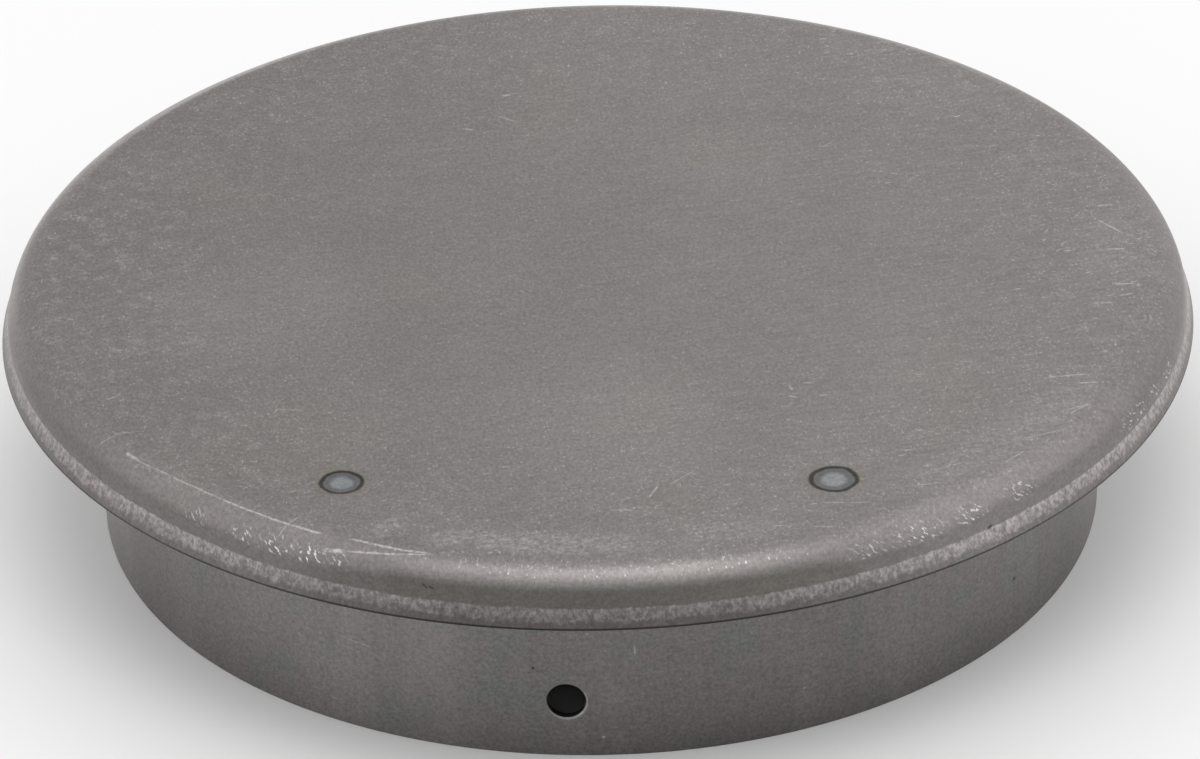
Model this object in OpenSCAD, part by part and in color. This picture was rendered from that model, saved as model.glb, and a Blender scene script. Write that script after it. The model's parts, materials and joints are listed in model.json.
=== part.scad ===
// Blanking cap for the end of a stovepipe. A pressed steel lid overhangs a rolled steel collar that
// slides into the pipe. Two lugs folded in from the collar's top edge are spot-welded under the lid.
// Millimetres, +Z up. The origin is the middle of the collar's foot, and the front is towards -Y.

/* [Pipe] */
// Bore of the pipe that the cap closes
pipe_bore = 150; // [110:1:220]
// Clearance between the collar and the pipe, all round
pipe_clearance = 0.5; // [0.2:0.1:2]

/* [Lid] */
// How far the lid's bend reaches past the collar, all round
lid_overhang = 12.6; // [9:0.1:40]
// Inside radius of the bend that turns the flat top down into the lip
rim_bend_r = 4.4; // [1:0.1:6]
// Height of the straight lip below the bend
lip_h = 3.2; // [1:0.1:15]
// Angle at which the lip stands out from upright
lip_tilt = 19; // [0:0.5:25]
// Thickness of the lid's sheet
lid_sheet = 1.2; // [0.6:0.1:2]

/* [Collar] */
// How far the collar reaches below the lip of the lid
collar_drop = 29.2; // [20:0.1:80]
// Thickness of the collar's sheet
collar_sheet = 1.2; // [0.6:0.1:2]
// Rounding left on the sheared edges of both sheets
edge_r = 0.25; // [0.05:0.05:0.25]

/* [Lugs] */
// Turn of the left lug from the front
lug_left_turn = 30.5; // [15:0.5:80]
// Turn of the right lug from the front
lug_right_turn = 27; // [15:0.5:80]
// Width of a lug
lug_w = 16; // [10:0.5:24]
// Reach of a lug in from the collar's outside
lug_reach = 10; // [8:0.5:20]
// Radius on the free corners of a lug
lug_corner_r = 3; // [1:0.5:4]
// Inside radius of the fold between a lug and the collar's wall
lug_fold_r = 0.8; // [0.3:0.1:2]
// Width of the relief notch on each side of a lug
notch_w = 2.5; // [1:0.5:5]
// How far the relief notches reach below the fold
notch_drop = 2.5; // [1.5:0.5:6]

/* [Spot welds] */
// Diameter of the flat bottom of the mark that an electrode leaves
weld_flat_d = 3.3; // [1:0.1:5]
// Width of the slope round that flat bottom
weld_slope_w = 1.4; // [0.3:0.1:2]
// Depth of the mark
weld_mark_depth = 0.15; // [0.05:0.05:0.3]
// Distance of the lid's weld marks in from the collar's outside
weld_inset = 3.2; // [2.5:0.1:5]

/* [Seam] */
// Width of the lap where the ends of the collar's strip meet at the back
lap_w = 14; // [8:0.5:30]
// Run of the step that takes the inner end of the strip under the outer end
joggle_run = 3; // [1.5:0.5:8]
// Gap between the outer end of the strip and that step
seam_gap = 0.4; // [0.2:0.1:1]
// Distance of the seam's welds from the collar's foot and from the level of the lip
seam_weld_margin = 7; // [4:0.5:9]

/* [Fixing hole] */
// Diameter of the hole for the fixing screw
hole_d = 5.5; // [3:0.1:8]
// Height of the hole's centre above the collar's foot
hole_height = 9.1; // [6:0.1:14]
// Turn of the hole from the front, towards the right
hole_turn = -4.3; // [-12:0.1:12]

/* [Hidden] */
$fn = 96;
lid_grey = [0.50, 0.48, 0.46];
collar_grey = [0.42, 0.41, 0.41];
// How far a cutter runs past the face that it cuts
overrun = 1;

collar_r = pipe_bore / 2 - pipe_clearance;
collar_in_r = collar_r - collar_sheet;
rim_r = collar_r + lid_overhang;
rim_out_r = rim_bend_r + lid_sheet;
lip_z = collar_drop;
lip_l = edge_r + (lip_h - edge_r * (1 - sin(lip_tilt))) / cos(lip_tilt);
bend_z = lip_z + lip_h;
top_z = bend_z + rim_out_r;
seat_z = top_z - lid_sheet;

fold_out_r = lug_fold_r + collar_sheet;
fold_z = seat_z - fold_out_r;
lug_end_r = collar_r - lug_reach;
lug_turns = [-lug_left_turn, lug_right_turn];
weld_r = collar_r - weld_inset;
weld_mark_d = weld_flat_d + 2 * weld_slope_w;

back = 90;
degrees_per_mm = 180 / (PI * collar_r);
lap_turn = lap_w * degrees_per_mm;
joggle_turn = joggle_run * degrees_per_mm;
gap_turn = seam_gap * degrees_per_mm;
tongue = collar_sheet / 4;
tongue_turn = tongue * degrees_per_mm;
seam_weld_heights = [seam_weld_margin, lip_z - seam_weld_margin];

// Point of the plan at radius r and angle a
function polar(r, a) = [r * cos(a), r * sin(a)];

// Section of a sheet of thickness t that stands on a sheared edge, with its outside at radius r_out
module standing_sheet(r_out, t, z_low, z_high) {
  r_in = r_out - t;
  translate([r_in, z_low + edge_r])
    square([t, z_high - z_low - edge_r]);
  translate([r_in + edge_r, z_low])
    square([t - 2 * edge_r, 2 * edge_r]);
  for (r = [r_in + edge_r, r_out - edge_r])
    translate([r, z_low + edge_r])
      circle(edge_r);
}

// Section of a quarter bend about the point [r, z], from the inside radius r_in through the sheet t
module quarter_bend(r, z, r_in, t) {
  translate([r, z])
    intersection() {
      difference() {
        circle(r_in + t);
        circle(r_in);
      }
      square(r_in + t);
    }
}

// Shallow dish that an electrode presses into a face, which is the plane z = 0
module weld_mark() {
  translate([0, 0, -weld_mark_depth])
    cylinder(h = weld_mark_depth, d1 = weld_flat_d, d2 = weld_mark_d);
  cylinder(h = overrun, d = weld_mark_d);
}

// Puts its children on the outside of the collar, with their z axis pointing out of it
module on_collar(turn, z) {
  rotate([0, 0, turn])
    translate([0, -collar_r, z])
      rotate([90, 0, 0])
        children();
}

// Half section of the pressed lid: flat top, bent rim and straight lip, which stands out at the foot
module lid_section() {
  translate([0, seat_z])
    square([rim_r - rim_out_r, lid_sheet]);
  quarter_bend(rim_r - rim_out_r, bend_z, rim_bend_r, lid_sheet);
  translate([rim_r - lid_sheet, bend_z])
    rotate(lip_tilt)
      standing_sheet(lid_sheet, lid_sheet, -lip_l, 0);
}

// Part of the collar's strip, rolled to the outside radius r_out
module strip(start, turn, r_out) {
  rotate([0, 0, start])
    rotate_extrude(angle = turn)
      standing_sheet(r_out, collar_sheet, 0, seat_z);
}

// Step that takes the strip in by its own thickness, so that its inner end passes under its outer end.
// Each end of the step has a tongue that reaches into the strip it joins.
module joggle() {
  start = back - joggle_turn;
  low_r = collar_in_r - collar_sheet;
  linear_extrude(seat_z)
    polygon([
      polar(collar_r, start),
      polar(collar_r - tongue, start - tongue_turn),
      polar(collar_in_r + tongue, start - tongue_turn),
      polar(collar_in_r, start),
      polar(low_r, back),
      polar(low_r + tongue, back + tongue_turn),
      polar(collar_in_r - tongue, back + tongue_turn),
      polar(collar_in_r, back)
    ]);
}

// Strip rolled into a ring and lapped at the back, flush on the outside
module rolled_strip() {
  strip(back + gap_turn, 360 - gap_turn - joggle_turn, collar_r);
  joggle();
  strip(back, lap_turn, collar_in_r);
}

// Room for a lug in the top of the wall at the front, with a round-ended relief notch on each side
module lug_relief() {
  cut_y = -collar_r - overrun;
  cut_l = lug_reach + overrun;
  notch_z = fold_z - notch_drop;
  translate([-lug_w / 2 - notch_w, cut_y, fold_z])
    cube([lug_w + 2 * notch_w, cut_l, fold_out_r + overrun]);
  for (side = [-1, 1])
    translate([side * (lug_w + notch_w) / 2, cut_y, notch_z]) {
      translate([-notch_w / 2, 0, notch_w / 2])
        cube([notch_w, cut_l, notch_drop]);
      translate([0, 0, notch_w / 2])
        rotate([-90, 0, 0])
          cylinder(h = cut_l, d = notch_w);
    }
}

// Plan of a lug that points in from the front
module lug_plan() {
  foot_y = -collar_r - overrun;
  end_y = -lug_end_r;
  translate([-lug_w / 2, foot_y])
    square([lug_w, end_y - lug_corner_r - foot_y]);
  translate([lug_corner_r - lug_w / 2, foot_y])
    square([lug_w - 2 * lug_corner_r, end_y - foot_y]);
  for (side = [-1, 1])
    translate([side * (lug_w / 2 - lug_corner_r), end_y - lug_corner_r])
      circle(lug_corner_r);
}

// Lug at the front, folded in from the wall along the collar's own curve. Its root is the stretch of
// the wall between the relief notches, and a tongue in the middle of the sheet reaches down into it.
module lug() {
  flat_r = collar_r - fold_out_r;
  intersection() {
    rotate_extrude() {
      translate([lug_end_r - overrun, seat_z - collar_sheet])
        square([flat_r - lug_end_r + overrun, collar_sheet]);
      quarter_bend(flat_r, fold_z, lug_fold_r, collar_sheet);
      translate([collar_in_r + tongue, fold_z - tongue])
        square([collar_sheet - 2 * tongue, 2 * tongue]);
    }
    linear_extrude(top_z)
      lug_plan();
  }
}

module lid() {
  color(lid_grey)
    difference() {
      rotate_extrude()
        lid_section();
      for (turn = lug_turns)
        rotate([0, 0, turn])
          translate([0, -weld_r, top_z])
            weld_mark();
    }
}

module collar() {
  color(collar_grey)
    difference() {
      union() {
        difference() {
          rolled_strip();
          for (turn = lug_turns)
            rotate([0, 0, turn])
              lug_relief();
        }
        for (turn = lug_turns)
          rotate([0, 0, turn])
            lug();
      }
      on_collar(hole_turn, hole_height)
        cylinder(h = 4 * collar_sheet, d = hole_d, center = true);
      for (z = seam_weld_heights)
        on_collar(180 + lap_turn / 2, z)
          weld_mark();
    }
}

lid();
collar();
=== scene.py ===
"""Looks of a stovepipe blanking cap: raw pressed steel with a burnished lip, weld marks and scratches, with
light and shade painted into some of its colours.

Pieces are shaped in millimetres and scaled to metres when they are done. The front is towards -Y, and a
turn is an angle round the cap, counted from the front towards the right.
"""

import json
import math
from types import SimpleNamespace

import bmesh
import bpy
from mathutils import Matrix, Vector


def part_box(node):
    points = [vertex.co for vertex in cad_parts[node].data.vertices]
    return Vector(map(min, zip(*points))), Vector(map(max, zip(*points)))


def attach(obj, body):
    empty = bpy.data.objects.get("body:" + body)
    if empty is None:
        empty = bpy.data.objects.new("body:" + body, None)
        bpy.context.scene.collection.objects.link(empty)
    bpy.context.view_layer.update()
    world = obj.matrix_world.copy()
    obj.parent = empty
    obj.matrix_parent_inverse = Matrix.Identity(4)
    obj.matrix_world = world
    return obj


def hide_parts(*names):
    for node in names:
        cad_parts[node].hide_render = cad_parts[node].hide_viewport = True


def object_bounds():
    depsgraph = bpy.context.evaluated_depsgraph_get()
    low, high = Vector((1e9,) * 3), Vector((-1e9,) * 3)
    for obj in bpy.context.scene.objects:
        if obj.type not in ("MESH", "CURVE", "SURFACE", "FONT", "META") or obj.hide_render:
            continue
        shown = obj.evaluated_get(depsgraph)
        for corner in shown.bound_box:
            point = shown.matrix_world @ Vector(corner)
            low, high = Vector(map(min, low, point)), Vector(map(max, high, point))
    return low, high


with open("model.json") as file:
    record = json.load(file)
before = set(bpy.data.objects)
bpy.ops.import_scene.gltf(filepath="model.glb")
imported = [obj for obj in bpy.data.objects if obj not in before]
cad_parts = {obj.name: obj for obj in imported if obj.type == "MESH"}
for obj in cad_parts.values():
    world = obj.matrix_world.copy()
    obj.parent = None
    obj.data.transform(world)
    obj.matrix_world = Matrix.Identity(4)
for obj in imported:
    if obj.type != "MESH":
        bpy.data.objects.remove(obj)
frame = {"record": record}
cad_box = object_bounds()

MM = 0.001
ORIGIN = (0, 0, 0)
UP = (0, 0, 1)

# Sizes that the frame gives, in millimetres
mounts = {mount["name"]: mount for mount in frame["record"]["mounts"]}
lid_low, lid_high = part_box("lid")
top_z = lid_high.z / MM
lip_z = lid_low.z / MM
seat_z = mounts["pipe_stop"]["pos_m"][2] / MM
lid_sheet = top_z - seat_z
collar_r = mounts["collar_spigot"]["dims"]["r_mm"]
collar_sheet = mounts["fixing_hole"]["dims"]["length_mm"]
collar_in_r = collar_r - collar_sheet
hole_r = mounts["fixing_hole"]["dims"]["r_mm"]
hole_z = mounts["fixing_hole"]["pos_m"][2] / MM
hole_x, hole_y = mounts["fixing_hole"]["axis"][:2]
hole_turn = math.atan2(hole_x, -hole_y)

# Sizes of the lid's sheet, in millimetres
rim_r = 87.1
bend_r = 5.6
edge_r = 0.25
bend_z = top_z - bend_r
flat_r = rim_r - bend_r
lip_tilt = math.radians(19)
lip_l = edge_r + (bend_z - lip_z - edge_r * (1 - math.sin(lip_tilt))) / math.cos(lip_tilt)
lip_ease = 0.1
lip_crease_r = lip_ease * 0.8
foot_z = bend_z + lid_sheet * math.sin(lip_tilt) - lip_l * math.cos(lip_tilt)

# Sizes of the electrode marks, in millimetres
weld_flat_r = 1.65
weld_r = 3.05
weld_depth = 0.15
weld_inset = 3.2

# Sizes of the collar's hole, lugs and seam, in millimetres
hole_flare = 0.15
lug_turns = (math.radians(-30.5), math.radians(27))
lug_w = 16
lug_reach = 10
lug_corner_r = 3
lug_fold_r = 0.8
notch_w = 2.5
notch_drop = 2.5
fold_out_r = lug_fold_r + collar_sheet
fold_z = seat_z - fold_out_r
lap_w = 14
lap_ease = 0.03
joggle_run = 3
seam_gap = 0.4
seam_weld_margin = 7
seam_weld_turn = math.pi + lap_w / collar_r / 2
seam_weld_heights = (seam_weld_margin, lip_z - seam_weld_margin)

# Steps of full rounds, bends and edges
ROUND_STEPS = 360
BEND_STEPS = 24
EDGE_STEPS = 5
# Distance of a supporting corner from a rounding
SUPPORT = 0.5
# How far a tool runs past what it cuts
OVERRUN = 1.0
# Share of a notch's width that rounds its end, just short of where its two corners meet
NEAR_HALF = 0.499
# Angles up to which the pieces are smooth
LID_CREASE = math.radians(5.5)
COLLAR_CREASE = math.radians(30)


# Shaping

def fillet(bm, corner, radius, steps):
    """Rounds a corner of a section."""
    bmesh.ops.bevel(bm, geom=[corner], offset=radius, offset_type="OFFSET", segments=steps,
                    profile=0.5, affect="VERTICES", material=-1)


def section(bm, points, closed=True):
    """Draws a section through (radius, height) points, as a face if closed and otherwise as a wire."""
    corners = [bm.verts.new((r, 0, z)) for r, z in points]
    if closed:
        bm.faces.new(corners)
    else:
        for start, end in zip(corners, corners[1:]):
            bm.edges.new((start, end))
    return corners


def everything(bm):
    return bm.verts[:] + bm.edges[:] + bm.faces[:]


def only(kind, geom):
    return [item for item in geom if isinstance(item, kind)]


def spin(bm, geom, turn=math.tau, steps=ROUND_STEPS):
    """Turns a section about the upright axis and gives back its last copy."""
    done = bmesh.ops.spin(bm, geom=geom, cent=ORIGIN, axis=UP, angle=turn, steps=steps,
                          use_merge=turn == math.tau, use_duplicate=False)
    return done["geom_last"]


def draw_out(bm, vec):
    """Makes a block of a face by drawing it out along a vector."""
    deep = bmesh.ops.extrude_face_region(bm, geom=bm.faces[:])["geom"]
    bmesh.ops.translate(bm, verts=only(bmesh.types.BMVert, deep), vec=vec)


def turn_about(bm, verts, angle, axis="Z"):
    bmesh.ops.rotate(bm, verts=verts, cent=ORIGIN, matrix=Matrix.Rotation(angle, 3, axis))


def close_up(bm):
    """Merges doubles and points every face outwards."""
    bmesh.ops.remove_doubles(bm, verts=bm.verts, dist=1e-4)
    bmesh.ops.dissolve_degenerate(bm, edges=bm.edges, dist=1e-5)
    bmesh.ops.recalc_face_normals(bm, faces=bm.faces)


def to_object(bm, name):
    mesh = bpy.data.meshes.new(name)
    bm.to_mesh(mesh)
    bm.free()
    piece = bpy.data.objects.new(name, mesh)
    bpy.context.scene.collection.objects.link(piece)
    return piece


def carve(piece, tool, operation="DIFFERENCE"):
    """Cuts a tool out of a piece, joins it on or keeps what they share, and removes the tool."""
    step = piece.modifiers.new(operation.lower(), "BOOLEAN")
    step.operation = operation
    step.solver = "EXACT"
    step.object = tool
    shaped = piece.evaluated_get(bpy.context.evaluated_depsgraph_get())
    mesh = bpy.data.meshes.new_from_object(shaped)
    piece.modifiers.clear()
    before = piece.data
    piece.data = mesh
    mesh.name = piece.name
    bpy.data.meshes.remove(before)
    tool_mesh = tool.data
    bpy.data.objects.remove(tool)
    bpy.data.meshes.remove(tool_mesh)


def dish_tool():
    """Shallow round-bottomed dish, with its rim in the plane z = 0."""
    bm = bmesh.new()
    corners = section(bm, [(0, -weld_depth), (weld_flat_r, -weld_depth), (weld_r, 0),
                           (weld_r, OVERRUN), (0, OVERRUN)], closed=False)
    fillet(bm, corners[1], weld_flat_r / 3, EDGE_STEPS)
    spin(bm, everything(bm), steps=ROUND_STEPS // 4)
    close_up(bm)
    return to_object(bm, "dish_tool")


def hole_tool():
    """Drill through the collar's wall along z, with a flare where it meets the outside at z = 0."""
    bm = bmesh.new()
    depth = 4 * collar_sheet
    section(bm, [(0, -depth), (hole_r, -depth), (hole_r, -hole_flare), (hole_r + hole_flare, 0),
                 (hole_r + hole_flare, OVERRUN), (0, OVERRUN)], closed=False)
    spin(bm, everything(bm), steps=ROUND_STEPS // 3)
    close_up(bm)
    return to_object(bm, "hole_tool")


def set_on_wall(tool, turn, height):
    """Stands a tool on the collar's outside, with its z axis pointing out of it."""
    stand = Matrix.Rotation(turn, 4, "Z") @ Matrix.Translation((0, -collar_r, height))
    tool.data.transform(stand @ Matrix.Rotation(math.pi / 2, 4, "X"))
    return tool


def relief_tool(turn):
    """Room for a lug in the top of the wall, with a round-ended notch on each side of it."""
    bm = bmesh.new()
    half = lug_w / 2
    foot = fold_z - notch_drop
    high = seat_z + OVERRUN
    corners = section(bm, [(-half - notch_w, high), (-half - notch_w, foot), (-half, foot), (-half, fold_z),
                           (half, fold_z), (half, foot), (half + notch_w, foot), (half + notch_w, high)])
    for corner in (corners[1], corners[2], corners[5], corners[6]):
        fillet(bm, corner, notch_w * NEAR_HALF, BEND_STEPS // 2)
    bmesh.ops.translate(bm, verts=bm.verts, vec=(0, -collar_r - OVERRUN, 0))
    draw_out(bm, (0, lug_reach + OVERRUN, 0))
    turn_about(bm, bm.verts, turn)
    close_up(bm)
    return to_object(bm, "relief_tool")


def lug_plan_tool(turn):
    """Upright block with the plan of a lug, rounded at its two free corners."""
    bm = bmesh.new()
    half = lug_w / 2
    start = -collar_r - OVERRUN
    end = -collar_r + lug_reach
    corners = section(bm, [(-half, start), (half, start), (half, end), (-half, end)])
    for corner in corners[2:]:
        fillet(bm, corner, lug_corner_r, BEND_STEPS // 2)
    turn_about(bm, bm.verts, -math.pi / 2, "X")
    bmesh.ops.scale(bm, verts=bm.verts, vec=(1, -1, 1))
    draw_out(bm, (0, 0, top_z))
    turn_about(bm, bm.verts, turn)
    close_up(bm)
    return to_object(bm, "lug_plan_tool")


def lug_tool(turn):
    """Lug folded in from the wall, with a root that reaches down between the notches."""
    bm = bmesh.new()
    end_r = collar_r - 2 * lug_reach
    root = fold_z - notch_drop / 4
    corners = section(bm, [(end_r, seat_z), (collar_r, seat_z), (collar_r, root), (collar_in_r, root),
                           (collar_in_r, seat_z - collar_sheet), (end_r, seat_z - collar_sheet)])
    fillet(bm, corners[1], fold_out_r, EDGE_STEPS * 2)
    fillet(bm, corners[4], lug_fold_r, EDGE_STEPS * 2)
    spread = 1.5 * lug_w / collar_r
    turn_about(bm, bm.verts, turn - math.pi / 2 - spread / 2)
    spin(bm, everything(bm), turn=spread, steps=ROUND_STEPS // 20)
    close_up(bm)
    lug = to_object(bm, "lug_tool")
    carve(lug, lug_plan_tool(turn), "INTERSECT")
    return lug


def lip_corner(across):
    """Corner of the lip's foot, across the sheet from its inside."""
    return (rim_r - lid_sheet + across * math.cos(lip_tilt) + lip_l * math.sin(lip_tilt),
            bend_z + across * math.sin(lip_tilt) - lip_l * math.cos(lip_tilt))


def pressed_lid():
    """Sheet pressed over a die: flat top, bent rim and lip that stands out, with two electrode marks."""
    bm = bmesh.new()
    in_r = rim_r - lid_sheet
    corners = section(bm, [(0, top_z), (flat_r - SUPPORT, top_z), (rim_r, top_z), (rim_r, bend_z - lip_ease),
                           lip_corner(lid_sheet), lip_corner(0), (in_r, bend_z - lip_ease), (in_r, seat_z),
                           (flat_r - SUPPORT, seat_z), (0, seat_z)], closed=False)
    fillet(bm, corners[2], bend_r, BEND_STEPS)
    fillet(bm, corners[3], lip_crease_r, EDGE_STEPS)
    fillet(bm, corners[4], edge_r, EDGE_STEPS)
    fillet(bm, corners[5], edge_r, EDGE_STEPS)
    fillet(bm, corners[7], bend_r - lid_sheet, BEND_STEPS)
    spin(bm, everything(bm))
    close_up(bm)
    piece = to_object(bm, "pressed_lid")
    for turn in lug_turns:
        dish = dish_tool()
        inset = Matrix.Translation((0, weld_inset - collar_r, top_z))
        dish.data.transform(Matrix.Rotation(turn, 4, "Z") @ inset)
        carve(piece, dish)
    return piece


def rolled_collar():
    """Strip rolled into a ring, stepped in by its own thickness at the back so that its ends lap."""
    back = math.pi / 2
    gap_turn = seam_gap / collar_r
    joggle_turn = joggle_run / collar_r
    bm = bmesh.new()
    corners = section(bm, [(collar_in_r, SUPPORT), (collar_in_r, 0), (collar_r, 0), (collar_r, SUPPORT),
                           (collar_r, seat_z), (collar_in_r, seat_z)])
    for corner in corners[1:3]:
        fillet(bm, corner, edge_r, EDGE_STEPS)
    turn_about(bm, bm.verts, back + gap_turn)
    last = spin(bm, everything(bm), turn=math.tau - gap_turn - joggle_turn)
    joggle_steps = BEND_STEPS // 2
    eased = 0.0
    for step in range(1, joggle_steps + 1):
        share = step / joggle_steps
        depth = (collar_sheet + lap_ease) * share * share * (3 - 2 * share)
        faces = only(bmesh.types.BMFace, last)
        last = bmesh.ops.extrude_face_region(bm, geom=faces)["geom"]
        bmesh.ops.delete(bm, geom=faces, context="FACES_ONLY")
        verts = only(bmesh.types.BMVert, last)
        turn_about(bm, verts, joggle_turn / joggle_steps)
        angle = back - joggle_turn * (1 - share)
        inwards = Vector((-math.cos(angle), -math.sin(angle), 0))
        bmesh.ops.translate(bm, verts=verts, vec=inwards * (depth - eased))
        eased = depth
    spin(bm, last, turn=lap_w / collar_r, steps=ROUND_STEPS // 30)
    close_up(bm)
    piece = to_object(bm, "rolled_collar")
    for turn in lug_turns:
        carve(piece, relief_tool(turn))
        carve(piece, lug_tool(turn), "UNION")
    carve(piece, set_on_wall(hole_tool(), hole_turn, hole_z))
    for height in seam_weld_heights:
        carve(piece, set_on_wall(dish_tool(), seam_weld_turn, height))
    return piece


def dress(piece, node, material, crease):
    """Scales a piece to metres, smooths it up to the crease angle and puts it in its node's place."""
    piece.data.transform(Matrix.Scale(MM, 4))
    piece.data.shade_smooth()
    piece.data.set_sharp_from_angle(angle=crease)
    piece.data.materials.clear()
    piece.data.materials.append(material)
    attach(piece, "root")
    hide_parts(node)


# Shader nodes

def place(tree, kind, inputs=(), **settings):
    """Adds a node. A socket given as an input is linked, and any other value is set on the input."""
    node = tree.nodes.new(kind)
    for name, value in settings.items():
        setattr(node, name, value)
    pairs = inputs.items() if isinstance(inputs, dict) else enumerate(inputs)
    for key, value in pairs:
        if isinstance(value, bpy.types.NodeSocket):
            tree.links.new(value, node.inputs[key])
        else:
            node.inputs[key].default_value = value
    return node


def maths(tree, operation, *values):
    return place(tree, "ShaderNodeMath", values, operation=operation).outputs[0]


def vectors(tree, operation, *values):
    node = place(tree, "ShaderNodeVectorMath", values, operation=operation)
    return node.outputs["Value" if operation in ("DOT_PRODUCT", "LENGTH", "DISTANCE") else "Vector"]


def scaled(tree, vector, factor):
    return place(tree, "ShaderNodeVectorMath", {0: vector, "Scale": factor}, operation="SCALE").outputs[0]


def fade(tree, value, start, end, low=0.0, high=1.0):
    """Runs smoothly from low, where the value is at start, to high, where it is at end."""
    node = place(tree, "ShaderNodeMapRange", (value, start, end, low, high), interpolation_type="SMOOTHSTEP")
    return node.outputs[0]


def slanted(tree, vector, angle, stretch):
    """Turns a place by degrees in its plane, and draws out what lies there along that direction."""
    inputs = {"Vector": vector, "Rotation": (0, 0, math.radians(angle)), "Scale": (stretch, 1, 1)}
    return place(tree, "ShaderNodeMapping", inputs, vector_type="TEXTURE").outputs[0]


def noise(tree, vector, scale, detail=2.0, roughness=0.5):
    inputs = {"Vector": vector, "Scale": scale, "Detail": detail, "Roughness": roughness}
    return place(tree, "ShaderNodeTexNoise", inputs).outputs[0]


def mix(tree, mask, low, high):
    """Blends two colours."""
    return place(tree, "ShaderNodeMix", {0: mask, 6: low, 7: high}, data_type="RGBA").outputs[2]


def both(tree, first, *others):
    """Product of masks."""
    for other in others:
        first = maths(tree, "MULTIPLY", first, other)
    return first


def either(tree, first, *others):
    """Largest of masks."""
    for other in others:
        first = maths(tree, "MAXIMUM", first, other)
    return first


def within(tree, value, low, full_low, full_high, high):
    """Mask that rises from low to full_low and falls from full_high to high."""
    return both(tree, fade(tree, value, low, full_low), fade(tree, value, high, full_high))


def vary(tree, value, amount):
    """A factor round 1 that follows a noise value round 0.5."""
    return maths(tree, "MULTIPLY_ADD", value, 2 * amount, 1 - amount)


def swing(tree, value, amount):
    """A factor round 1 that follows a noise value round 0.5, by an amount that may be a socket."""
    return maths(tree, "MULTIPLY_ADD", maths(tree, "SUBTRACT", value, 0.5), amount, 1.0)


def spread_noise(tree, vector, scale, spread):
    """Noise round nought, over a spread from its lowest to its highest value."""
    return maths(tree, "MULTIPLY_ADD", noise(tree, vector, scale, 4.0, 0.7), spread, -spread / 2)


def group(name, inputs, outputs):
    """Starts a shader node group and gives back its tree, its given sockets and its result sockets."""
    tree = bpy.data.node_groups.new(name, "ShaderNodeTree")
    for label, kind in inputs:
        tree.interface.new_socket(name=label, in_out="INPUT", socket_type=kind)
    for label, kind in outputs:
        tree.interface.new_socket(name=label, in_out="OUTPUT", socket_type=kind)
    given = tree.nodes.new("NodeGroupInput").outputs
    result = tree.nodes.new("NodeGroupOutput").inputs
    return tree, given, result


def use(tree, made, inputs):
    """Places a group and gives back its outputs."""
    return place(tree, "ShaderNodeGroup", inputs, node_tree=made).outputs


VALUE = "NodeSocketFloat"
VECTOR = "NodeSocketVector"

# Rolling direction of the sheet in degrees, and how far it draws out the grain
ROLLING_ANGLE = 14
ROLLING_STRETCH = 9


def grain_group():
    """Mill grain of rolled sheet: fine mottle, streaks along the rolling direction and wide clouds."""
    tree, given, result = group("mill_grain", [("Point", VECTOR), ("Mottle", VALUE), ("Streaks", VALUE),
                                               ("Clouds", VALUE)], [("Tone", VALUE), ("Height", VALUE)])
    point = given["Point"]
    mottle = noise(tree, vectors(tree, "MULTIPLY", point, (1, 0.7, 1)), 2.1, 3.0, 0.65)
    streaks = noise(tree, slanted(tree, point, ROLLING_ANGLE, ROLLING_STRETCH), 1.4, 3.0, 0.6)
    clouds = noise(tree, point, 0.04, 4.0, 0.6)
    tone = both(tree, swing(tree, mottle, given["Mottle"]), swing(tree, streaks, given["Streaks"]),
                swing(tree, clouds, given["Clouds"]))
    tree.links.new(tone, result["Tone"])
    tree.links.new(maths(tree, "ADD", mottle, streaks), result["Height"])
    return tree


def flecks_group():
    """Small bright nicks, thinned out by chance."""
    tree, given, result = group("flecks", [("Point", VECTOR), ("Spacing", VALUE), ("Size", VALUE),
                                           ("Share", VALUE)], [("Mask", VALUE)])
    scale = maths(tree, "DIVIDE", 1.0, given["Spacing"])
    cells = place(tree, "ShaderNodeTexVoronoi", {"Vector": given["Point"], "Scale": scale},
                  voronoi_dimensions="2D").outputs
    chance = place(tree, "ShaderNodeSeparateColor", [cells["Color"]]).outputs
    kept = maths(tree, "LESS_THAN", chance["Red"], given["Share"])
    reach = both(tree, given["Size"], fade(tree, chance["Green"], 0.0, 1.0, 0.35, 1.0))
    spot = maths(tree, "SUBTRACT", 1.0, maths(tree, "DIVIDE", cells["Distance"], reach))
    spot = fade(tree, spot, 0.0, 0.6)
    tree.links.new(both(tree, spot, kept, fade(tree, chance["Blue"], 0.0, 1.0, 0.3, 1.0)), result["Mask"])
    return tree


def scratch_group():
    """One scratch between two points: thin, and fading at its ends."""
    tree, given, result = group("scratch", [("Point", VECTOR), ("Start", VECTOR), ("End", VECTOR),
                                            ("Width", VALUE), ("Strength", VALUE)], [("Mask", VALUE)])
    offset = vectors(tree, "SUBTRACT", given["Point"], given["Start"])
    run = vectors(tree, "SUBTRACT", given["End"], given["Start"])
    share = maths(tree, "DIVIDE", vectors(tree, "DOT_PRODUCT", offset, run),
                  vectors(tree, "DOT_PRODUCT", run, run))
    held = place(tree, "ShaderNodeClamp", [share, 0.0, 1.0]).outputs[0]
    nearest = scaled(tree, run, held)
    distance = vectors(tree, "DISTANCE", offset, nearest)
    line = fade(tree, maths(tree, "DIVIDE", distance, given["Width"]), 1.0, 0.25)
    ends = fade(tree, maths(tree, "ABSOLUTE", maths(tree, "SUBTRACT", held, 0.5)), 0.5, 0.35, 0.3, 1.0)
    tree.links.new(both(tree, line, ends, given["Strength"]), result["Mask"])
    return tree


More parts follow.
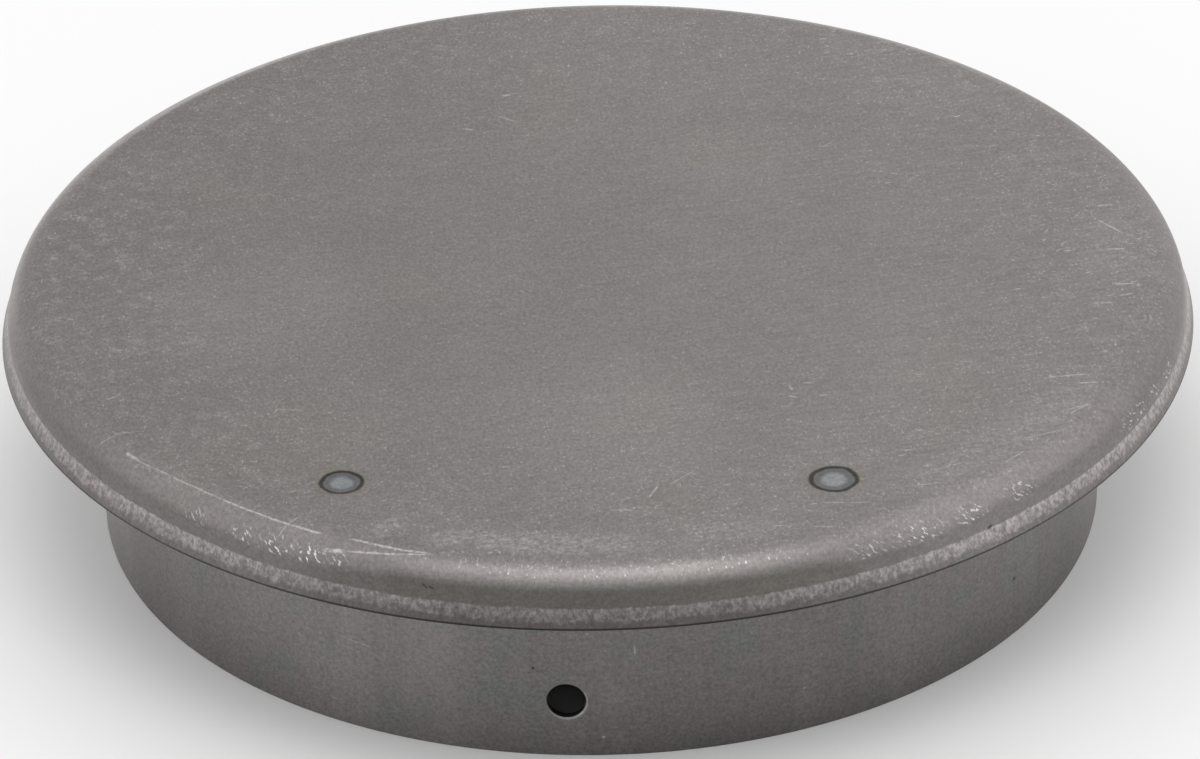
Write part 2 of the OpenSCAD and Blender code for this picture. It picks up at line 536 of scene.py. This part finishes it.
def weld_group():
    """Electrode mark round a centre: pale middle, grey dish, dark rim and a scorched halo."""
    tree, given, result = group("weld_mark", [("Point", VECTOR), ("Centre", VECTOR), ("Size", VALUE)],
                                [("Middle", VALUE), ("Dish", VALUE), ("Rim", VALUE), ("Halo", VALUE)])
    distance = vectors(tree, "DISTANCE", given["Point"], given["Centre"])
    distance = maths(tree, "DIVIDE", distance, given["Size"])
    ragged = maths(tree, "MULTIPLY_ADD", noise(tree, given["Point"], 0.5, 3.0), 0.6, -0.3)
    distance = maths(tree, "ADD", distance, ragged)
    tree.links.new(fade(tree, distance, weld_flat_r + 0.6, weld_flat_r - 0.3), result["Middle"])
    tree.links.new(fade(tree, distance, weld_r - 0.1, weld_r - 0.5), result["Dish"])
    rim = maths(tree, "ABSOLUTE", maths(tree, "SUBTRACT", distance, weld_r + 0.1))
    tree.links.new(fade(tree, rim, 0.6, 0.15), result["Rim"])
    tree.links.new(fade(tree, distance, weld_r + 3.0, weld_r), result["Halo"])
    return tree


mill_grain = grain_group()
flecks = flecks_group()
scratch = scratch_group()
weld_mark = weld_group()


# Places of the wear

LID_WELD_SIZES = (0.9, 1.0)

# Slightly paler places on the lid: their middle (x, y) in millimetres and their tone
PALE_CLOUDS = [((-51, -12), 1.1), ((0, -47), 1.06)]

# Scratches on the flat of the lid: from (x, y) to (x, y) in millimetres, width and strength
FLAT_SCRATCHES = [
    ((-70.5, -37.5), (-68.5, -36), 0.2, 0.5),
    ((-46, -41), (-42, -41.5), 0.16, 0.4),
    ((27, -37), (27.5, -39), 0.3, 0.45),
    ((27, -40.5), (28, -41), 0.3, 0.5),
    ((29, -37), (30.5, -37), 0.3, 0.45),
    ((30.5, -36), (32, -35.5), 0.2, 0.4),
    ((31, -40.5), (32.5, -40.5), 0.3, 0.4),
    ((45, -35.5), (47.5, -35), 0.18, 0.35),
    ((6.5, -67.5), (8, -64), 0.22, 0.6),
    ((9.5, -64), (13, -60.5), 0.16, 0.4),
    ((1, -70.5), (4.5, -70.5), 0.18, 0.4),
    ((2, -68), (5, -67), 0.2, 0.35),
    ((23.5, -75.5), (26, -75.5), 0.2, 0.4),
    ((29, -76), (32, -76), 0.2, 0.35),
    ((75, 13.2), (77.3, 13.7), 0.24, 0.5),
    ((74.8, 9), (78.2, 4.7), 0.24, 0.6),
    ((75.3, 0), (78.1, 0), 0.26, 0.7),
    ((75.8, -10.5), (78.6, -10.5), 0.24, 0.55),
    ((72, -16), (75.2, -16), 0.24, 0.55),
    ((76, -14), (78.3, -13.3), 0.24, 0.5),
    ((63.8, -37), (69.8, -36.3), 0.24, 0.6),
    ((68.2, -38.8), (71, -38.6), 0.24, 0.6),
    ((65.9, -46.2), (69.6, -44.6), 0.2, 0.5),
    ((51.8, -32), (53.7, -32), 0.18, 0.5),
    ((-20, 42.3), (-18.4, 41.8), 0.4, 0.5),
    ((-14, 52.9), (-12.6, 53), 0.45, 0.45),
    ((-15, 46.3), (-11.5, 44), 0.35, 0.3),
    ((-11.4, 57.9), (-10.8, 57.6), 0.45, 0.3),
    ((-35.8, 26.6), (-35.2, 26.4), 0.4, 0.4),
]

# Scratches along the rim: from (turn in degrees, radius in millimetres) to another, width and strength
RIM_SCRATCHES = [
    ((-52.5, 84.3), (-46, 83.6), 0.15, 0.6),
    ((-46, 83.6), (-40, 83.4), 0.18, 0.8),
    ((-40, 83.4), (-27.5, 83.7), 0.2, 0.95),
    ((-30.5, 83.6), (-27.5, 83.7), 0.26, 1.0),
    ((-52.6, 84), (-50.5, 84), 0.28, 0.9),
    ((-31.5, 85.4), (-31.3, 83.8), 0.18, 0.8),
    ((-31.3, 83.8), (-30.7, 81.8), 0.15, 0.6),
    ((-24.7, 83.5), (-16.2, 83.6), 0.24, 0.95),
    ((-26.7, 85.5), (-24.7, 85.2), 0.32, 1.0),
    ((-24.7, 85.2), (-16.2, 83.7), 0.16, 0.7),
    ((-56.2, 85.4), (-55.7, 83.2), 0.16, 0.5),
    ((-55.7, 83.2), (-54.5, 79.6), 0.16, 0.5),
    ((33, 78.7), (36, 80.3), 0.15, 0.4),
    ((37.4, 77.5), (40.3, 78.4), 0.16, 0.4),
    ((43.2, 82.4), (46, 82.2), 0.18, 0.5),
    ((47.5, 79.9), (52, 83.1), 0.18, 0.35),
    ((54.5, 81.5), (57.4, 82.3), 0.2, 0.5),
    ((23.5, 76), (28.5, 79.5), 0.16, 0.45),
]

# Frosted patches by the rim: from (turn in degrees, radius in millimetres) to another, width and strength
FROSTED_PATCHES = [
    ((-23, 81.5), (-21, 77), 3, 0.7),
    ((-17, 81), (-12.5, 77.5), 3, 0.8),
    ((-14, 79), (4, 79.5), 4, 0.75),
    ((8, 77), (18, 80), 4, 0.4),
    ((32, 78), (60, 79), 6, 0.4),
    ((84, 74), (98, 77), 5, 0.3),
]

# Clusters of glints on the bend: turn and spread in degrees, and strength
GLINT_CLUSTERS = [
    (-41, 2.5, 0.4),
    (-35.5, 2, 0.7),
    (-31.5, 3, 1.0),
    (-28, 2.5, 1.0),
    (-25, 1.5, 0.5),
    (25, 3, 0.4),
    (30.5, 4, 0.7),
    (36.5, 2.5, 0.8),
    (42.5, 3, 0.5),
    (61.5, 4, 0.55),
    (66.5, 2, 0.4),
    (70.5, 2, 0.7),
]

# Dark nicks on the bend: from (turn in degrees, height in millimetres) to another, width and strength
BEND_NICKS = [
    ((-16.6, 34.6), (-16.1, 34.1), 0.2, 0.7),
    ((-16, 34.4), (-15.5, 34.1), 0.2, 0.7),
    ((37.9, 32.5), (38.4, 32.8), 0.35, 0.8),
]

# Marks on the collar's wall: from (turn in degrees, height in millimetres) to another, width and strength
WALL_SCRATCHES = [
    ((-30, 14.6), (-26.3, 14.1), 0.14, 0.5),
    ((-29.5, 13.2), (-27.5, 12.6), 0.12, 0.35),
    ((-31.4, 3.7), (-30, 3.8), 0.14, 0.45),
    ((-28, 22), (-27.3, 0), 3.5, 0.08),
    ((-0.5, 3.1), (-0.2, 3.2), 0.25, 0.8),
    ((3.1, 18.2), (3.2, 16.8), 0.16, 0.5),
]
WALL_SPECKS = [
    ((-7.9, 14.5), (-7.7, 14.5), 0.3, 0.9),
    ((52.2, 9.4), (52.6, 9.6), 0.35, 0.9),
]


def flat_place(end):
    return (end[0], end[1], 0)


def rim_place(end):
    return (math.radians(end[0]) * rim_r, end[1], 0)


def wall_place(end):
    return (math.radians(end[0]) * collar_r, end[1], 0)


def round_place(r, turn, z):
    """Place at a radius, a turn from the front and a height."""
    return (r * math.sin(turn), -r * math.cos(turn), z)


# Steel

def grey(level, warmth=0.0):
    """A near grey, a little warm or, below nought, a little cool."""
    return (level * (1 + warmth), level, level * (1 - warmth), 1)


def steel(level):
    """The warm grey of bare steel."""
    return (level * 1.08, level, level * 0.98, 1)


# Colours of the lid
BARE = steel(0.227)
YELLOWED = (0.233, 0.227, 0.197, 1)
# Frost, and the painted highlights on the bend
FROST_AND_SHEEN = steel(0.36)
SCUFFED = steel(0.52)
# Painted highlight where the rim turns away at the sides and the back
PAINTED_EDGE_HIGHLIGHT = steel(0.48)
# Dark film on the bend: partly a stain, partly painted shade
FILM_AND_SHADE = (0.113, 0.105, 0.096)
LIP_DULL = steel(0.11)
LIP_BRIGHT = steel(0.2)
LIP_FOOT_DULL = steel(0.1)
LIP_FOOT_BRIGHT = steel(0.12)
# Sheared edge of the lip, with the painted shadow under it
SHEARED_EDGE_AND_SHADOW = steel(0.03)[:3]
WORN = grey(0.58, 0.02)
GLINT = grey(0.95, 0.01)
NICKED = grey(0.04)

# Colours of the collar
WARM_WALL = (0.167, 0.154, 0.154, 1)
COOL_WALL = (0.15, 0.154, 0.149, 1)
SMUDGED_WALL = grey(0.21, 0.03)
WORN_WALL = grey(0.4, 0.02)
WALL_SPECK = grey(0.02)
HOLE_BURR = grey(0.33)

# Colours of an electrode mark
WELD_SCORCH = (0.2, 0.185, 0.14, 1)
WELD_RIM = (0.042, 0.038, 0.035, 1)
WELD_DISH = grey(0.15, -0.01)
WELD_MIDDLE = (0.278, 0.294, 0.305, 1)

# Finish of both sheets: roughness, and depth in millimetres and strength of the grain
LID_ROUGHNESS = 0.47
COLLAR_ROUGHNESS = 0.42
UNEVENNESS = 0.12
WORN_POLISH = 0.14
LIP_POLISH = 0.06
GRAIN_DEPTH = 0.02
LID_RELIEF = 0.5
COLLAR_RELIEF = 0.4


def scratches(tree, point, rows, to_place):
    """Mask of a list of scratches."""
    lines = [use(tree, scratch, {"Point": point, "Start": to_place(start), "End": to_place(end),
                                 "Width": width, "Strength": strength})["Mask"]
             for start, end, width, strength in rows]
    return either(tree, *lines)


def scattered(tree, point, spacing, size, share):
    """Mask of small nicks, scattered over a surface."""
    return use(tree, flecks, {"Point": point, "Spacing": spacing, "Size": size, "Share": share})["Mask"]


def millimetres(tree):
    """Place on the piece in millimetres."""
    coordinates = place(tree, "ShaderNodeTexCoord").outputs["Object"]
    return scaled(tree, coordinates, 1 / MM)


def round_axis(tree, point):
    """Turn from the front in degrees, radius and height of a place."""
    x, y, z = place(tree, "ShaderNodeSeparateXYZ", [point]).outputs
    radius = vectors(tree, "LENGTH", vectors(tree, "MULTIPLY", point, (1, 1, 0)))
    turn = maths(tree, "ARCTAN2", x, maths(tree, "MULTIPLY", y, -1.0))
    return maths(tree, "DEGREES", turn), radius, z


def unrolled(tree, turn, round_r, across):
    """Place on a sheet rolled out flat: millimetres along the round, and across it."""
    along = maths(tree, "MULTIPLY", turn, math.radians(round_r))
    return place(tree, "ShaderNodeCombineXYZ", [along, across, 0.0]).outputs[0]


def new_steel(name):
    """Starts a bare metal material and gives back its tree and its shader."""
    material = bpy.data.materials.new(name)
    material.use_nodes = True
    shader = material.node_tree.nodes["Principled BSDF"]
    shader.inputs["Metallic"].default_value = 1.0
    return material, material.node_tree, shader


def uneven(tree, point, scale, roughness):
    """Roughness that varies a little over the sheet."""
    return both(tree, vary(tree, noise(tree, point, scale, 3.0), UNEVENNESS), roughness)


def finish_steel(tree, shader, colour, rough, height, strength):
    """Gives the shader its colour, its roughness and the relief of its grain."""
    inputs = {"Height": height, "Distance": GRAIN_DEPTH * MM, "Strength": strength}
    normal = place(tree, "ShaderNodeBump", inputs).outputs[0]
    for name, value in (("Base Color", colour), ("Roughness", rough), ("Normal", normal)):
        tree.links.new(value, shader.inputs[name])


def weld_colours(tree, point, welds, colour):
    """Lays electrode marks over a colour, each with a centre and a size."""
    marks = [use(tree, weld_mark, {"Point": point, "Centre": centre, "Size": size}) for centre, size in welds]
    halo, rim, dish, middle = (either(tree, *(mark[part] for mark in marks))
                               for part in ("Halo", "Rim", "Dish", "Middle"))
    colour = mix(tree, both(tree, halo, 0.35), colour, WELD_SCORCH)
    colour = mix(tree, both(tree, rim, 0.95), colour, WELD_RIM)
    colour = mix(tree, dish, colour, WELD_DISH)
    return mix(tree, middle, colour, WELD_MIDDLE)


def lid_places(tree):
    """Coordinates of a place on the lid, and masks that several of its effects share."""
    at = SimpleNamespace(point=millimetres(tree))
    at.turn, at.radius, at.z = round_axis(tree, at.point)
    at.x = place(tree, "ShaderNodeSeparateXYZ", [at.point]).outputs["X"]
    ragged_turn = maths(tree, "ADD", at.turn, spread_noise(tree, at.point, 0.06, 16.0))
    at.aside = maths(tree, "ABSOLUTE", ragged_turn)
    at.outside = fade(tree, at.radius, flat_r + 0.5, flat_r + 1.5)
    at.inside = fade(tree, at.radius, flat_r + 2.5, flat_r + 1.0)
    at.patches = noise(tree, at.point, 0.32, 4.0, 0.7)
    return at


def lid_tone(tree, at, grain):
    """Brightness of the sheet: its grain, a little darker on the left, and its pale clouds."""
    clouds = [fade(tree, vectors(tree, "DISTANCE", at.point, (*middle, top_z)), 25.0, 8.0, 1.0, tone)
              for middle, tone in PALE_CLOUDS]
    return both(tree, grain["Tone"], fade(tree, at.x, -75.0, 60.0, 0.86, 1.04), *clouds)


def bare_sheet(tree, at):
    """Bare steel, with a frosted ring and rubbed patches by the rim, a painted highlight on the bend where
    the rim turns away, a painted highlight on its ridge in front, and paler sides of the bend that are partly
    polish and partly a painted highlight.
    """
    colour = mix(tree, fade(tree, noise(tree, at.point, 0.035, 3.0), 0.52, 0.7, 0.0, 0.3), BARE, YELLOWED)
    along_rim = unrolled(tree, at.turn, rim_r, at.radius)
    rubbed = scratches(tree, along_rim, FROSTED_PATCHES, rim_place)
    ring = both(tree, at.inside, fade(tree, at.radius, 48.0, 74.0), fade(tree, at.patches, 0.48, 0.64),
                fade(tree, at.x, 30.0, -50.0, 0.3, 0.6), fade(tree, at.aside, 50.0, 80.0, 0.5, 1.0),
                fade(tree, at.aside, 95.0, 130.0, 1.0, 0.5))
    snow = fade(tree, noise(tree, at.point, 1.1, 4.0, 0.75), 0.42, 0.6, 0.1, 1.0)
    frost = both(tree, either(tree, ring, rubbed), snow)
    scuff = fade(tree, noise(tree, slanted(tree, along_rim, 8, 3), 2.0, 3.0, 0.6), 0.54, 0.7)
    scuff = both(tree, rubbed, rubbed, scuff, fade(tree, at.patches, 0.42, 0.56))
    # Painted highlight: a pale band on the bend where the rim turns away at the sides and the back
    edge_z = maths(tree, "ADD", fade(tree, at.aside, 90.0, 140.0, bend_z + 2.8, top_z),
                   fade(tree, at.x, -20.0, -70.0, 0.0, 1.5))
    edge = both(tree, at.outside, fade(tree, maths(tree, "SUBTRACT", at.z, edge_z), 0.6, -1.6),
                fade(tree, at.aside, 70.0, 98.0, 0.0, 0.9))
    # Partly polish and partly a painted highlight: the bend is made paler towards the sides
    polish_and_highlight = both(tree, fade(tree, at.radius, flat_r - 1.0, flat_r + 3.0),
                  fade(tree, at.z, bend_z + 2.0, bend_z + 3.5),
                  fade(tree, at.aside, 18.0, 32.0), fade(tree, at.aside, 68.0, 45.0, 0.0, 0.4))
    # Painted highlight along the ridge of the bend in front
    painted_ridge_highlight = both(tree, fade(tree, at.radius, flat_r + 2.4, flat_r + 3.5),
                 fade(tree, at.z, bend_z + 2.2, bend_z + 3.2), fade(tree, at.aside, 24.0, 15.0, 0.0, 0.22))
    colour = mix(tree, either(tree, frost, polish_and_highlight, painted_ridge_highlight), colour, FROST_AND_SHEEN)
    colour = mix(tree, scuff, colour, SCUFFED)
    return mix(tree, edge, colour, PAINTED_EDGE_HIGHLIGHT)


def filmed_and_shaded_bend(tree, at, colour):
    """Lays a dark film over the bend's colour, partly a stain and partly painted shade, strongest in front
    and fading towards the sides.
    """
    # Painted shade: the film is strongest in front and fades towards the sides
    film_and_shade_z = maths(tree, "ADD", at.z, within(tree, at.aside, 18.0, 28.0, 34.0, 44.0))
    film_and_shade = both(tree, at.outside, fade(tree, film_and_shade_z, bend_z + 4.0, bend_z + 2.2),
                fade(tree, at.aside, 16.0, 34.0, 0.9, 0.3))
    return mix(tree, film_and_shade, colour, scaled(tree, FILM_AND_SHADE, fade(tree, at.aside, 5.0, 16.0, 1.0, 1.15)))


def burnished_lip_and_sheen(tree, at, colour):
    """Lays the lip over a colour: streaky bright band made lighter towards the sides by painted sheen, dull
    foot, and sheared edge darkened by painted shadow. Gives the band too.
    """
    upright = vectors(tree, "MULTIPLY", at.point, (1, 1, 0.5))
    bright = fade(tree, noise(tree, upright, 1.5, 5.0, 0.75), 0.38, 0.62)
    ragged_foot = maths(tree, "ADD", at.z, spread_noise(tree, upright, 0.7, 2.2))
    above_foot = fade(tree, ragged_foot, foot_z + 0.9, foot_z + 1.4)
    ragged_top = maths(tree, "ADD", at.z, spread_noise(tree, at.point, 1.3, 0.9))
    lip_top = fade(tree, at.turn, -30.0, -50.0, bend_z, bend_z + 0.35)
    below_bend = fade(tree, maths(tree, "SUBTRACT", ragged_top, lip_top), 0.2, -0.1)
    band = both(tree, at.outside, below_bend)
    lip = mix(tree, above_foot, mix(tree, bright, LIP_FOOT_DULL, LIP_FOOT_BRIGHT),
              mix(tree, bright, LIP_DULL, LIP_BRIGHT))
    # Painted sheen: the lip is made lighter towards the sides; it is also darker towards its foot
    lip = scaled(tree, lip, both(tree, fade(tree, at.aside, 8.0, 42.0, 1.0, 1.85),
                                 fade(tree, at.z, foot_z + 0.8, bend_z, 0.9, 1.15)))
    colour = mix(tree, band, colour, lip)
    # Painted shadow: a dark line at the lip's foot, partly its sheared edge, paler towards the sides
    sheared_edge_and_shadow = fade(tree, at.z, foot_z + 0.42, foot_z + 0.2)
    edge = scaled(tree, SHEARED_EDGE_AND_SHADOW, fade(tree, at.aside, 8.0, 60.0, 1.0, 2.5))
    return mix(tree, sheared_edge_and_shadow, colour, edge), band


def lid_wear(tree, at):
    """Masks of worn places on the lid, of the glints on its bend and of the dark nicks there."""
    speck = noise(tree, vectors(tree, "MULTIPLY", at.point, (1, 0.65, 1)), 2.6, 2.0, 0.6)
    speck = both(tree, fade(tree, speck, 0.55, 0.75), fade(tree, at.radius, flat_r + 4.0, flat_r + 2.8),
                 fade(tree, at.patches, 0.36, 0.6, 0.3, 1.0), fade(tree, at.radius, 30.0, 80.0, 0.3, 0.55))
    nick = both(tree, scattered(tree, slanted(tree, at.point, 18, 6), spacing=0.9, size=0.14, share=0.4),
                at.inside, fade(tree, noise(tree, at.point, 0.14, 3.0), 0.48, 0.62),
                fade(tree, at.x, -20.0, 60.0, 0.3, 1.0), fade(tree, at.radius, 30.0, 75.0, 0.4, 1.0))
    rim = unrolled(tree, at.turn, rim_r, at.z)
    on_ridge = both(tree, at.outside,
                    within(tree, at.z, bend_z + 3.2, bend_z + 3.9, bend_z + 4.8, bend_z + 5.3),
                    fade(tree, at.aside, 70.0, 40.0, 0.15, 0.4), fade(tree, at.aside, 28.0, 12.0, 1.0, 1.7),
                    fade(tree, at.turn, -16.0, -9.0, 0.3, 1.0))
    fleck = both(tree, scattered(tree, rim, spacing=0.9, size=0.25, share=0.4), on_ridge)
    plan = vectors(tree, "MULTIPLY", at.point, (1, 1, 0))
    wander = maths(tree, "ADD", at.radius, spread_noise(tree, at.point, 0.25, 0.5))
    scratched = either(tree, scratches(tree, plan, FLAT_SCRATCHES, flat_place),
                       scratches(tree, unrolled(tree, at.turn, rim_r, wander), RIM_SCRATCHES, rim_place))
    on_top = fade(tree, at.z, bend_z, bend_z + 1.0)
    broken = fade(tree, noise(tree, at.point, 1.4, 3.0, 0.75), 0.36, 0.56, 0.25, 1.0)
    worn = either(tree, speck, nick, fleck, both(tree, scratched, on_top, broken))

    glint = fade(tree, noise(tree, slanted(tree, rim, -35, 2.2), 2.6, 2.0, 0.5), 0.56, 0.65)
    glint_z = maths(tree, "ADD", at.z, fade(tree, at.aside, 50.0, 60.0, 0.0, 1.4))
    on_bend = both(tree, at.outside,
                   within(tree, glint_z, bend_z + 1.8, bend_z + 2.4, bend_z + 3.6, bend_z + 4.4))
    clusters = []
    for middle, spread, strength in GLINT_CLUSTERS:
        off_middle = maths(tree, "ABSOLUTE", maths(tree, "SUBTRACT", at.turn, middle))
        clusters.append(fade(tree, off_middle, spread, 0.0, 0.0, strength))
    glint = both(tree, glint, on_bend, either(tree, *clusters))
    nicked = both(tree, scratches(tree, rim, BEND_NICKS, rim_place), at.outside)
    return worn, glint, nicked


def lid_steel():
    """Raw pressed sheet with a dark film on its bend that is partly painted shade, a burnished lip with
    painted sheen and painted shadow, painted highlights on its bend, wear and two electrode marks.
    """
    material, tree, shader = new_steel("lid_steel")
    at = lid_places(tree)
    grain = use(tree, mill_grain, {"Point": at.point, "Mottle": fade(tree, at.x, -20.0, 50.0, 0.95, 0.8),
                                   "Streaks": fade(tree, at.x, -20.0, 50.0, 0.2, 0.36), "Clouds": 0.28})
    colour = filmed_and_shaded_bend(tree, at, bare_sheet(tree, at))
    colour, band = burnished_lip_and_sheen(tree, at, colour)
    worn, glint, nicked = lid_wear(tree, at)
    for mask, mark in ((worn, WORN), (glint, GLINT), (nicked, NICKED)):
        colour = mix(tree, mask, colour, mark)
    weld_reach = collar_r - weld_inset
    welds = [(round_place(weld_reach, turn, top_z), size) for turn, size in zip(lug_turns, LID_WELD_SIZES)]
    colour = scaled(tree, weld_colours(tree, at.point, welds, colour), lid_tone(tree, at, grain))
    rough = uneven(tree, at.point, 0.5, LID_ROUGHNESS)
    rough = maths(tree, "MULTIPLY_ADD", either(tree, worn, glint), -WORN_POLISH, rough)
    rough = maths(tree, "MULTIPLY_ADD", band, -LIP_POLISH, rough)
    finish_steel(tree, shader, colour, rough, grain["Height"], LID_RELIEF)
    return material


def collar_steel():
    """Raw rolled sheet, smudged and scratched, with painted light that makes its sides lighter than its
    front, a lighter stretch round a turn of -26 degrees, a burr at its hole and two electrode marks on its
    seam.
    """
    material, tree, shader = new_steel("collar_steel")
    point = millimetres(tree)
    turn, radius, z = round_axis(tree, point)
    aside = maths(tree, "ABSOLUTE", turn)
    grain = use(tree, mill_grain, {"Point": point, "Mottle": 1.1, "Streaks": 0.2, "Clouds": 0.3})
    cool = fade(tree, noise(tree, point, 0.12, 4.0, 0.6), 0.5, 0.66)
    colour = mix(tree, cool, WARM_WALL, COOL_WALL)
    upright = vectors(tree, "MULTIPLY", point, (1, 1, 0.12))
    smudge = fade(tree, noise(tree, upright, 0.09, 5.0, 0.7), 0.45, 0.7, 0.0, 0.3)
    colour = mix(tree, smudge, colour, SMUDGED_WALL)
    # Painted light: the wall is made darker in front, lighter towards the sides and a little darker on the
    # right; it is also lighter round a turn of -26 degrees
    off_lighter_turn = maths(tree, "ABSOLUTE", maths(tree, "ADD", turn, 26.0))
    tone = both(tree, fade(tree, aside, 20.0, 52.0, 0.95, 1.34), fade(tree, aside, 60.0, 80.0, 1.0, 1.35),
                fade(tree, off_lighter_turn, 24.0, 3.0, 1.0, 1.24), fade(tree, turn, 30.0, 50.0, 1.0, 0.93))
    colour = scaled(tree, colour, tone)

    wall = unrolled(tree, turn, collar_r, z)
    outside = fade(tree, radius, collar_in_r + 0.4, collar_in_r + 0.8)
    nick = both(tree, scattered(tree, wall, spacing=2.6, size=0.1, share=0.06), 0.4)
    worn = either(tree, nick, scratches(tree, wall, WALL_SCRATCHES, wall_place))
    colour = mix(tree, both(tree, worn, outside), colour, WORN_WALL)
    specks = scratches(tree, wall, WALL_SPECKS, wall_place)
    colour = mix(tree, both(tree, specks, outside), colour, WALL_SPECK)
    from_hole = vectors(tree, "SUBTRACT", point, round_place(collar_r, hole_turn, hole_z))
    burr = fade(tree, maths(tree, "SUBTRACT", vectors(tree, "LENGTH", from_hole), hole_r), 0.4, 0.15)
    low_right = vectors(tree, "DOT_PRODUCT", from_hole, (0.7, 0, -0.7))
    burr = both(tree, burr, outside, fade(tree, low_right, -0.5, 2.0))
    colour = mix(tree, burr, colour, HOLE_BURR)
    welds = [(round_place(collar_r, seam_weld_turn, height), 1.0) for height in seam_weld_heights]
    colour = scaled(tree, weld_colours(tree, point, welds, colour), grain["Tone"])
    rough = uneven(tree, point, 0.4, COLLAR_ROUGHNESS)
    finish_steel(tree, shader, colour, rough, grain["Height"], COLLAR_RELIEF)
    return material


# Stage

FLOOR_SIZE = 8.0
FLOOR_WHITE = 0.92
SKY_STRENGTH = 0.95
SOFTBOX_SIZE = (0.6, 0.35)
SOFTBOX_DISTANCE = 0.95
SOFTBOX_TURN = math.radians(2)
SOFTBOX_ELEVATION = math.radians(69)
SOFTBOX_POWER = 1.65


def pale_floor():
    bm = bmesh.new()
    bmesh.ops.create_grid(bm, x_segments=1, y_segments=1, size=FLOOR_SIZE / 2)
    bmesh.ops.translate(bm, verts=bm.verts, vec=(0, 0, cad_box[0][2]))
    floor = to_object(bm, "floor")
    material = bpy.data.materials.new("pale_floor")
    material.use_nodes = True
    shader = material.node_tree.nodes["Principled BSDF"]
    shader.inputs["Base Color"].default_value = grey(FLOOR_WHITE)
    shader.inputs["Roughness"].default_value = 1.0
    shader.inputs["Specular IOR Level"].default_value = 0.0
    floor.data.materials.append(material)


def from_front(distance, turn, elevation):
    """Place at a distance from the origin, at a turn from the front and an elevation."""
    return Vector(round_place(distance * math.cos(elevation), turn, distance * math.sin(elevation)))


def softbox():
    lamp = bpy.data.lights.new("softbox", "AREA")
    lamp.shape = "RECTANGLE"
    lamp.size, lamp.size_y = SOFTBOX_SIZE
    lamp.energy = SOFTBOX_POWER
    stand = bpy.data.objects.new("softbox", lamp)
    stand.location = from_front(SOFTBOX_DISTANCE, SOFTBOX_TURN, SOFTBOX_ELEVATION)
    stand.rotation_euler = (-stand.location).to_track_quat("-Z", "Y").to_euler()
    bpy.context.scene.collection.objects.link(stand)


def sky():
    world = bpy.data.worlds.new("studio")
    world.use_nodes = True
    background = world.node_tree.nodes["Background"]
    background.inputs["Color"].default_value = (1, 1, 1, 1)
    background.inputs["Strength"].default_value = SKY_STRENGTH
    bpy.context.scene.world = world


# Camera, fitted to the photograph's outline
VIEW_DISTANCE = 0.95
VIEW_ELEVATION = math.radians(30.378)
VIEW_ROLL = math.radians(-1.305)
VIEW_TARGET = Vector((0.153, 0, 17.637)) * MM
IMAGE_WIDTH = 1200
FOCAL_PIXELS = 6362.2
SENSOR_WIDTH = 36.0


def photo_camera():
    lens = bpy.data.cameras.new("camera")
    lens.sensor_fit = "HORIZONTAL"
    lens.sensor_width = SENSOR_WIDTH
    lens.lens = FOCAL_PIXELS / IMAGE_WIDTH * SENSOR_WIDTH
    camera = bpy.data.objects.new("camera", lens)
    eye = VIEW_TARGET + from_front(VIEW_DISTANCE, 0, VIEW_ELEVATION)
    aim = Matrix.Rotation(math.pi / 2 - VIEW_ELEVATION, 4, "X") @ Matrix.Rotation(VIEW_ROLL, 4, "Z")
    camera.matrix_world = Matrix.Translation(eye) @ aim
    bpy.context.scene.collection.objects.link(camera)
    bpy.context.scene.camera = camera


dress(pressed_lid(), "lid", lid_steel(), crease=LID_CREASE)
dress(rolled_collar(), "collar", collar_steel(), crease=COLLAR_CREASE)
pale_floor()
softbox()
sky()
photo_camera()
bpy.context.scene.view_settings.view_transform = "Standard"
